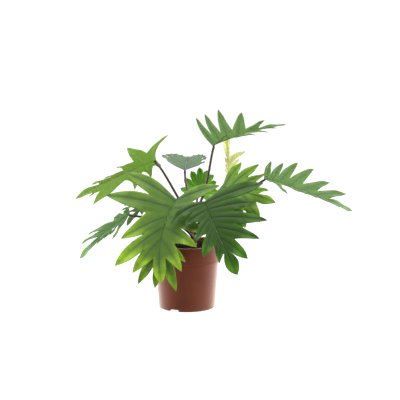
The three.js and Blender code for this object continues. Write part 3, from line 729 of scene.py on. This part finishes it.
def make_leaf(name, blade):
    bm = bmesh.new()
    plane = bm.loops.layers.uv.new("blade")
    margin = bm.verts.layers.float.new("margin")
    reach = bm.verts.layers.float.new("reach")
    rib = bm.verts.layers.float.new("rib")
    groups = bm.verts.layers.deform.new("ribs")
    columns = 2 * HALF_COLUMNS
    rows = WEB_ROWS + FREE_ROWS
    lobes = [(hand, lobe) for hand in (1, -1) for lobe in range(blade.tip)] + [(-1, blade.tip)]
    for hand, lobe in lobes:
        places = blade.lobe_rows(hand, lobe)
        grid = bmesh.ops.create_grid(bm, x_segments=columns, y_segments=rows, size=1)
        flat = {}
        for vertex in grid["verts"]:
            column = round((vertex.co.x + 1) / 2 * columns)
            row = round((vertex.co.y + 1) / 2 * rows)
            place, apart, along, edge, q, up = places[row][column]
            from_rib = blade.midrib_distance(place) if row <= WEB_ROWS else MIDRIB_WIDTH
            if lobe == blade.tip:
                depth = rib_weight(abs(apart), MIDRIB_WIDTH, 1 - MIDRIB_LOSS * q)
            else:
                depth = rib_weight(abs(apart), VEIN_WIDTH, VEIN_DEPTH_SHARE * (1 - VEIN_LOSS * q))
                depth = max(depth, rib_weight(from_rib, MIDRIB_WIDTH, 1))
            vertex[margin] = max(edge ** 2, q ** POINT_POWER)
            vertex[reach] = along / blade.lobe_length(hand, lobe)
            vertex[rib] = depth
            vertex[groups][0] = max(depth, LEAST_DEPTH_SHARE)
            flat[vertex] = (apart, along)
            vertex.co = (place - up * (GROOVE_DEPTH * depth)) * MM
        faces = {face for vertex in grid["verts"] for face in vertex.link_faces}
        lay_flat(faces, plane, flat)
        if hand < 0:
            bmesh.ops.reverse_faces(bm, faces=list(faces))
    bmesh.ops.remove_doubles(bm, verts=bm.verts[:], dist=MERGE_WITHIN * MM)
    kind = LEAVES[name]["green"]
    tone = LEAVES[name].get("tone", kind)
    piece = put(bm, f"blade_{name}", leaf_materials[tone], [f"leaf_{name}"])
    piece.vertex_groups.new(name="ribs")
    solid = piece.modifiers.new("thickness", "SOLIDIFY")
    solid.thickness = RIB_THICKNESS * MM
    solid.offset = -1
    solid.vertex_group = "ribs"
    solid.thickness_vertex_group = BLADE_THICKNESS / RIB_THICKNESS
    solid.material_offset = 1
    solid.material_offset_rim = 0


blades = {name: Blade(plan) for name, plan in LEAVES.items()}
for name, blade in blades.items():
    make_leaf(name, blade)


# Stem, stalks and roots

STEM_FOOT = Vector((17, -2, 62))
STEM_TOP = Vector((8, 4, 172))
STEM_FOOT_RADIUS = 5.2
STEM_TOP_RADIUS = 3.6
STEM_NODES = 9
NODE_SWELL = 0.45
SCAR_SWELL = 0.5
SCAR_SHIFT = 0.12
SCAR_WIDTH = 0.06
STEM_ROUGHNESS = 0.5
STEM_ROUGH_ROUND = 2
STEM_ROUGH_ALONG = 30
STEM_DIVISION = (24, 150)
STALK_DIVISION = (14, 64)
STALK_FOOT_RADIUS = 2.4
STALK_HEAD_RADIUS = 1.9
STALK_GROOVE = 0.12
STALK_ROUGHNESS = 0.12
STALK_ROUGH_ALONG = 9
FOOT_FLARE = 1.1
FOOT_FLARE_END = 0.14
KNEE_SWELL = 0.35
KNEE_AT = 0.94
KNEE_SPREAD = 0.03
END_FROM = 0.965
END_CURVE = 1.5
SEAT_AHEAD = 3.8
SEAT_BELOW = 0.8
RISE_SHARE = 0.4
SETTLE_SHARE = 0.3
SETTLE_SLOPE = 0.7
NEARLY_ALONG = 0.9


def stem_at(height):
    return STEM_FOOT.lerp(STEM_TOP, (height - STEM_FOOT.z) / (STEM_TOP.z - STEM_FOOT.z))


def bezier(points, t):
    """The place at t on a Bezier curve of any degree."""
    while len(points) > 1:
        points = [a.lerp(b, t) for a, b in zip(points, points[1:])]
    return points[0]


def stalk_line(name):
    """The control points of a leaf's stalk, from the stem to under the blade."""
    plan, blade = LEAVES[name], blades[name]
    along, _, up = blade.axes
    foot = stem_at(plan["height"])
    head = blade.base + along * SEAT_AHEAD - up * SEAT_BELOW
    reach = (head - foot).length
    outward = Vector((head.x - foot.x, head.y - foot.y, 0)).normalized()
    rise = (outward * plan["out"] + Vector((0, 0, 1))).normalized()
    settle = (up + along * SETTLE_SLOPE).normalized()
    return [foot, foot + rise * (reach * RISE_SHARE), head - settle * (reach * SETTLE_SHARE), head]


def frames_along(place, steps):
    """Middles and turning axes along a curve, without a twist."""
    across = None
    frames = []
    for step in range(steps + 1):
        t = step / steps
        ahead = (place(min(t + 0.5 / steps, 1)) - place(max(t - 0.5 / steps, 0))).normalized()
        start = across or (Vector((1, 0, 0)) if abs(ahead.x) < NEARLY_ALONG else Vector((0, 1, 0)))
        across = (start - ahead * start.dot(ahead)).normalized()
        frames.append((place(t), across, ahead.cross(across)))
    return frames


def bent_bar(place, radius, sides, steps):
    """A round bar along a curve, whose radius depends on t and on the angle round it."""
    bm = bmesh.new()
    plane = bm.loops.layers.uv.new("stalk")
    bmesh.ops.create_cone(bm, cap_ends=True, segments=sides, radius1=1, radius2=1, depth=1)
    rising = [edge for edge in bm.edges if abs(edge.verts[0].co.z - edge.verts[1].co.z) > 0.5]
    bmesh.ops.subdivide_edges(bm, edges=rising, cuts=steps - 1, use_grid_fill=False)
    frames = frames_along(place, steps)
    spots = {}
    for vertex in bm.verts:
        t = vertex.co.z + 0.5
        angle = math.atan2(vertex.co.y, vertex.co.x)
        middle, across, up = frames[round(t * steps)]
        wide = radius(t, angle)
        vertex.co = (middle + across * (wide * math.cos(angle)) + up * (wide * math.sin(angle))) * MM
        spots[vertex] = (angle / math.tau, t)
    for face in bm.faces:
        turns = [spots[loop.vert][0] for loop in face.loops]
        wraps = max(turns) - min(turns) > 0.5
        for loop in face.loops:
            turn, t = spots[loop.vert]
            loop[plane].uv = (turn + 1 if wraps and turn < 0 else turn, t)
    return bm


def stalk_radius(t):
    """Broad where the stalk clasps the stem and again just under its blade, and thinner at its very end."""
    plain = STALK_FOOT_RADIUS + (STALK_HEAD_RADIUS - STALK_FOOT_RADIUS) * t
    foot = FOOT_FLARE * max(1 - t / FOOT_FLARE_END, 0) ** 2
    knee = KNEE_SWELL * math.exp(-((t - KNEE_AT) / KNEE_SPREAD) ** 2)
    end = max((t - END_FROM) / (1 - END_FROM), 0) ** END_CURVE
    return plain + foot + knee - end


def make_stalk(name):
    line = stalk_line(name)
    seed = Vector((ord(name), 0, 0))

    def radius(t, angle):
        groove = STALK_GROOVE * math.cos(2 * angle)
        rough = STALK_ROUGHNESS * noise.noise(seed + Vector((0, 0, t * STALK_ROUGH_ALONG)))
        return stalk_radius(t) + groove + rough

    bm = bent_bar(lambda t: bezier(line, t), radius, *STALK_DIVISION)
    put(bm, f"stalk_{name}", [stalk_material], [f"petiole_{name}"])


for name in LEAVES:
    make_stalk(name)


def stem_radius(t, angle):
    plain = STEM_FOOT_RADIUS + (STEM_TOP_RADIUS - STEM_FOOT_RADIUS) * t
    phase = STEM_NODES * t
    swell = NODE_SWELL * math.cos(math.tau * phase)
    scar = SCAR_SWELL * math.exp(-(((phase + SCAR_SHIFT) % 1 - 0.5) / SCAR_WIDTH) ** 2)
    turn = Vector((math.cos(angle), math.sin(angle), 0)) * STEM_ROUGH_ROUND
    rough = STEM_ROUGHNESS * noise.noise(turn + Vector((0, 0, t * STEM_ROUGH_ALONG)))
    return plain + swell + scar + rough


put(bent_bar(lambda t: STEM_FOOT.lerp(STEM_TOP, t), stem_radius, *STEM_DIVISION),
    "stem_bark", [bark_material], ["stem"])

ROOTS = {
    "aerial_root_1": [Vector((16, -3, 118)), Vector((40, -16, 138)), Vector((50, -20, 102))],
    "aerial_root_2": [Vector((15, 0, 116)), Vector((2, 30, 128)), Vector((-8, 38, 102))],
}
ROOT_START_RADIUS = 1.76
ROOT_THINNING = 0.32
ROOT_KNOBS = 0.35
ROOT_KNOBS_ALONG = 14
ROOT_SEED = 94.9
ROOT_DIVISION = (12, 60)


def root_radius(t, angle):
    spot = Vector((ROOT_SEED, math.cos(angle), t * ROOT_KNOBS_ALONG + math.sin(angle)))
    return ROOT_START_RADIUS - ROOT_THINNING * t + ROOT_KNOBS * noise.noise(spot)


for name, line in ROOTS.items():
    put(bent_bar(lambda t: bezier(line, t), root_radius, *ROOT_DIVISION),
        f"bark_{name}", [bark_material], [name])


# Dry sheaths

SHEATHS = {
    "sheath_right": dict(on="h", start=0.1, end=0.36, toward=(1, 0, 0), flare=4),
    "sheath_left": dict(on="i", start=0.4, end=0.64, toward=(0, 1, 1), flare=9),
}
SHEATH_THICKNESS = 0.35
SHEATH_CLEARANCE = 0.75
SHEATH_WRAP = 100
SHEATH_TAPER = 1.5
SHEATH_NARROWEST = 0.02
SHEATH_RIPPLE = 0.5
SHEATH_RIPPLES = (3, 7)
TANGENT_STEP = 0.01
SHEATH_COLUMNS = 24
SHEATH_ROWS = 36


def make_sheath(name, plan):
    line = stalk_line(plan["on"])
    toward = Vector(plan["toward"])
    bm = bmesh.new()
    plane = bm.loops.layers.uv.new("stalk")
    grid = bmesh.ops.create_grid(bm, x_segments=SHEATH_COLUMNS, y_segments=SHEATH_ROWS, size=1)
    flat = {}
    for vertex in grid["verts"]:
        x, q = vertex.co.x, (vertex.co.y + 1) / 2
        t = plan["start"] + (plan["end"] - plan["start"]) * q
        ahead = (bezier(line, t + TANGENT_STEP) - bezier(line, t - TANGENT_STEP)).normalized()
        out = (toward - ahead * toward.dot(ahead)).normalized()
        spot = Vector((x * SHEATH_RIPPLES[0], q * SHEATH_RIPPLES[1], len(name)))
        ripple = SHEATH_RIPPLE * noise.noise(spot) * q
        turn = x * math.radians(SHEATH_WRAP) * max(1 - q ** SHEATH_TAPER, SHEATH_NARROWEST)
        radius = stalk_radius(t) + SHEATH_CLEARANCE + ripple
        place = bezier(line, t) + out * (radius * math.cos(turn) + plan["flare"] * q * q)
        vertex.co = (place + ahead.cross(out) * (radius * math.sin(turn))) * MM
        flat[vertex] = (x, q)
    lay_flat(bm.faces, plane, flat)
    piece = put(bm, f"paper_{name}", [sheath_material], [name])
    solid = piece.modifiers.new("thickness", "SOLIDIFY")
    solid.thickness = SHEATH_THICKNESS * MM
    solid.offset = 0


for name, plan in SHEATHS.items():
    make_sheath(name, plan)


# Pot

POT_HEIGHT = 114
RIM_RADIUS = 60.5
BAND_FOOT = 86
BAND_SLOPE = 2
BAND_TAPER = 0.8
SHOULDER_RADIUS = 56
FOOT_RADIUS = 49.6
WALL = 1.8
FOOT_WIDTH = 5
FOOT_SLOPE = 2
CENTRE_FOOT = 12
RECESS = 3.5
FLOOR = RECESS + WALL
POT_STEPS = 144
NOTCH_WIDTH = 18
NOTCH_ANGLES = (-117, 63)
NOTCH_ROUNDING = 1
DRAIN_RADIUS = 4
DRAIN_COUNT = 6
DRAIN_CIRCLE = 28
DRAIN_SIDES = 24
CUTTER_MARGIN = 2
ROUNDING = 0.45
ROUNDING_STEPS = 3
CORNER_ANGLE = 20
SHARP_ANGLE = 35
TURNED_DOWN = -0.15
SAME_PLACE = 0.01


def spun(profile, steps):
    """A profile of (radius, height) points, turned about the pot's axis."""
    bm = bmesh.new()
    points = [bm.verts.new((radius * MM, 0, height * MM)) for radius, height in profile]
    lines = [bm.edges.new(pair) for pair in zip(points, points[1:])]
    bmesh.ops.spin(bm, geom=points + lines, axis=(0, 0, 1), cent=(0, 0, 0), angle=math.tau,
                   steps=steps, use_merge=True)
    bmesh.ops.remove_doubles(bm, verts=bm.verts[:], dist=SAME_PLACE * MM)
    bmesh.ops.recalc_face_normals(bm, faces=bm.faces[:])
    return bm


def cut(piece, bm):
    """Takes a closed mesh away from a piece."""
    cutter = placed(bm, "cutter")
    boolean = piece.modifiers.new("cut", "BOOLEAN")
    boolean.object = cutter
    boolean.operation = "DIFFERENCE"
    boolean.solver = "EXACT"
    shaped = piece.evaluated_get(bpy.context.evaluated_depsgraph_get())
    spent = [piece.data, cutter.data]
    piece.data = bpy.data.meshes.new_from_object(shaped)
    piece.modifiers.clear()
    bpy.data.objects.remove(cutter)
    for mesh in spent:
        bpy.data.meshes.remove(mesh)


def rounded(bm, edges, width):
    bmesh.ops.bevel(bm, geom=edges, offset=width * MM, segments=ROUNDING_STEPS, profile=0.5,
                    affect="EDGES", material=-1, clamp_overlap=True)


def make_pot():
    bm = spun([
        (0, 0), (CENTRE_FOOT, 0), (CENTRE_FOOT + FOOT_SLOPE, RECESS),
        (FOOT_RADIUS - FOOT_WIDTH - FOOT_SLOPE, RECESS), (FOOT_RADIUS - FOOT_WIDTH, 0),
        (FOOT_RADIUS, 0), (SHOULDER_RADIUS, BAND_FOOT - BAND_SLOPE),
        (RIM_RADIUS - BAND_TAPER, BAND_FOOT), (RIM_RADIUS, POT_HEIGHT),
        (RIM_RADIUS - WALL, POT_HEIGHT), (RIM_RADIUS - WALL - BAND_TAPER, BAND_FOOT + WALL),
        (SHOULDER_RADIUS - WALL, BAND_FOOT - BAND_SLOPE), (FOOT_RADIUS - WALL, FLOOR), (0, FLOOR),
    ], POT_STEPS)
    corners = [edge for edge in bm.edges
               if edge.is_manifold and edge.calc_face_angle() > math.radians(CORNER_ANGLE)
               and edge.verts[0].co.xy.length > ROUNDING * MM
               and abs(edge.verts[0].co.z - edge.verts[1].co.z) < SAME_PLACE * MM]
    rounded(bm, corners, ROUNDING)
    bm.normal_update()
    # Faces turned down under the rim band take the second finish, whose sheen is taken away as painted shade.
    for face in bm.faces:
        middle = face.calc_center_median() / MM
        outside = middle.xy.length > SHOULDER_RADIUS - WALL / 2
        under_band = outside and abs(middle.z - BAND_FOOT) < 2 * BAND_SLOPE
        face.material_index = 1 if under_band and face.normal.z < TURNED_DOWN else 0
    piece = put(bm, "pot_shell", [pot_material, shoulder_shade_material], ["pot"])
    notch = Vector((2 * CUTTER_MARGIN * FOOT_WIDTH, NOTCH_WIDTH, CUTTER_MARGIN * RECESS)) * MM
    for angle in NOTCH_ANGLES:
        cutter = bmesh.new()
        shape = turned(math.radians(angle)) @ moved(FOOT_RADIUS, 0, 0) @ Matrix.Diagonal((*notch, 1))
        bmesh.ops.create_cube(cutter, size=1, matrix=shape)
        rounded(cutter, cutter.edges[:], NOTCH_ROUNDING)
        cut(piece, cutter)
    for index in range(DRAIN_COUNT):
        cutter = bmesh.new()
        shape = turned(math.tau * (index + 0.5) / DRAIN_COUNT) @ moved(DRAIN_CIRCLE, 0, FLOOR)
        bmesh.ops.create_cone(cutter, cap_ends=True, segments=DRAIN_SIDES, radius1=DRAIN_RADIUS * MM,
                              radius2=DRAIN_RADIUS * MM, depth=2 * CUTTER_MARGIN * WALL * MM, matrix=shape)
        cut(piece, cutter)
    piece.data.shade_smooth()
    piece.data.set_sharp_from_angle(angle=math.radians(SHARP_ANGLE))


make_pot()


# Soil

SOIL_LEVEL = 107
SOIL_DOME = 3
SOIL_GAP = 0.3
SOIL_RADIUS = RIM_RADIUS - WALL - BAND_TAPER - SOIL_GAP
SOIL_RINGS = 26
SOIL_STEPS = 96
SOIL_SEED = 11
SOIL_TOP_DEPTH = 0.1
SOIL_WAVES = 1.5
SOIL_WAVE_LENGTH = 9
SOIL_WAVE_KIND = (0.9, 2.0, 4)
CRUMB_COUNT = 620
CRUMB_INSET = 2
CRUMB_SIZES = (0.7, 1.5)
BIG_CRUMB_SHARE = 0.12
BIG_CRUMB = 1.9
CRUMB_FLATNESS = (0.5, 0.9)
CRUMB_DENT = 0.16
CRUMB_LIFT = 0.3
FIBRE_COUNT = 60
FIBRE_INSET = 6
FIBRE_LENGTHS = (3, 8)
FIBRE_TILT = 14
FIBRE_LIFT = 0.9
FIBRE_SIDES = 5
FIBRE_RADII = (0.35, 0.15)


def soil_height(radius):
    return SOIL_LEVEL + SOIL_DOME * math.sqrt(max(1 - (radius / SOIL_RADIUS) ** 2, 0))


def scattered(dice, inset):
    """A random place on the soil, at least this far in from its edge."""
    angle = dice.uniform(0, math.tau)
    radius = (SOIL_RADIUS - inset) * math.sqrt(dice.random())
    return radius * math.cos(angle), radius * math.sin(angle), soil_height(radius)


def make_soil():
    rings = [SOIL_RADIUS * (1 - ring / SOIL_RINGS) for ring in range(SOIL_RINGS + 1)]
    foot = FOOT_RADIUS - WALL - SOIL_GAP
    bm = spun([(0, FLOOR + SOIL_GAP), (foot, FLOOR + SOIL_GAP),
               (SHOULDER_RADIUS - WALL - SOIL_GAP, BAND_FOOT - BAND_SLOPE),
               (SOIL_RADIUS, BAND_FOOT + WALL + SOIL_GAP)]
              + [(radius, soil_height(radius)) for radius in rings], SOIL_STEPS)
    for vertex in bm.verts:
        if vertex.co.z > (SOIL_LEVEL - SOIL_TOP_DEPTH) * MM:
            place = vertex.co / MM
            vertex.co.z += SOIL_WAVES * noise.fractal(place / SOIL_WAVE_LENGTH, *SOIL_WAVE_KIND) * MM
    dice = random.Random(SOIL_SEED)
    for _ in range(CRUMB_COUNT):
        x, y, top = scattered(dice, CRUMB_INSET)
        size = dice.uniform(*CRUMB_SIZES) * (BIG_CRUMB if dice.random() < BIG_CRUMB_SHARE else 1)
        shape = (moved(x, y, top + CRUMB_LIFT * size)
                 @ turned(dice.uniform(0, math.tau)) @ turned(dice.uniform(0, math.pi), "X")
                 @ Matrix.Diagonal((size * MM, size * dice.uniform(*CRUMB_FLATNESS) * MM,
                                    size * dice.uniform(*CRUMB_FLATNESS) * MM, 1)))
        crumb = bmesh.ops.create_icosphere(bm, subdivisions=1, radius=1, matrix=shape)
        for vertex in crumb["verts"]:
            vertex.co += Vector([dice.uniform(-CRUMB_DENT, CRUMB_DENT) * size * MM for _ in range(3)])
    foot_radius, end_radius = FIBRE_RADII
    for _ in range(FIBRE_COUNT):
        x, y, top = scattered(dice, FIBRE_INSET)
        long = dice.uniform(*FIBRE_LENGTHS)
        shape = (moved(x, y, top + FIBRE_LIFT) @ turned(dice.uniform(0, math.tau))
                 @ turned(math.radians(90 + dice.uniform(-FIBRE_TILT, FIBRE_TILT)), "X"))
        bmesh.ops.create_cone(bm, cap_ends=True, segments=FIBRE_SIDES, radius1=foot_radius * MM,
                              radius2=end_radius * MM, depth=long * MM, matrix=shape)
    put(bm, "soil_crumbs", [soil_material], ["soil"])


make_soil()


# Floor and light, in metres. The floor is white where the camera sees it, and dimmer toward the camera.

FLOOR_SIZE = 60.0
FLOOR_BRIGHT = 0.95
FLOOR_DIM = 0.5
FLOOR_DIM_START = -0.6
FLOOR_DIM_END = -1.2
FLOOR_GREY = (0.14, 0.14, 0.14, 1)
WHITE = (1, 1, 1, 1)
ROOM_DIM = 0.16
ROOM_BRIGHT = 1.05
ROOM_DIM_BEFORE = -0.6
ROOM_BRIGHT_BEYOND = 0.45


def make_floor():
    finish = Finish("studio_floor")
    depth = finish.parts(finish.place())[1]
    light = finish.span(depth, FLOOR_DIM_END, FLOOR_DIM_START, FLOOR_DIM, FLOOR_BRIGHT)
    surface = finish.add("BsdfDiffuse", {"Color": FLOOR_GREY}).outputs[0]
    glow = finish.add("Emission", {"Color": WHITE, "Strength": light}).outputs[0]
    both = finish.add("AddShader", {0: surface, 1: glow}).outputs[0]
    bm = bmesh.new()
    bmesh.ops.create_grid(bm, x_segments=1, y_segments=1, size=FLOOR_SIZE / 2)
    floor = placed(bm, "floor", [finish.end(both)])


def make_world():
    """The room: white behind the plant, and dimmer beside it, overhead and most of all behind the camera."""
    world = bpy.data.worlds.new("studio")
    world.use_nodes = True
    room = Nodes(world.node_tree)
    depth = room.parts(room.place("Generated"))[1]
    glow = room.span(depth, ROOM_DIM_BEFORE, ROOM_BRIGHT_BEYOND, ROOM_DIM, ROOM_BRIGHT)
    background = room.tree.nodes["Background"]
    background.inputs["Color"].default_value = WHITE
    room.tree.links.new(glow, background.inputs["Strength"])
    bpy.context.scene.world = world


make_floor()
make_world()
bpy.context.scene.view_settings.view_transform = "Standard"

# Softboxes: the place of each and the place that it lights, its width and height, and its power
SOFTBOXES = {
    "softbox_left": ((-1.7, 0.5, 1.0), (0, 0, 0.1), (2.8, 2.6), 130),
    "softbox_right": ((1.7, 0.5, 1.0), (0, 0, 0.1), (2.8, 2.6), 154),
    "softbox_top": ((-0.2, -0.7, 1.8), (0, 0, 0.2), (0.9, 0.9), 40),
}

for name, (place, target, (wide, high), power) in SOFTBOXES.items():
    lamp = bpy.data.lights.new(name, "AREA")
    lamp.shape = "RECTANGLE"
    lamp.size = wide
    lamp.size_y = high
    lamp.energy = power
    softbox = bpy.data.objects.new(name, lamp)
    softbox.location = place
    softbox.rotation_euler = (Vector(target) - Vector(place)).to_track_quat("-Z", "Y").to_euler()
    bpy.context.scene.collection.objects.link(softbox)
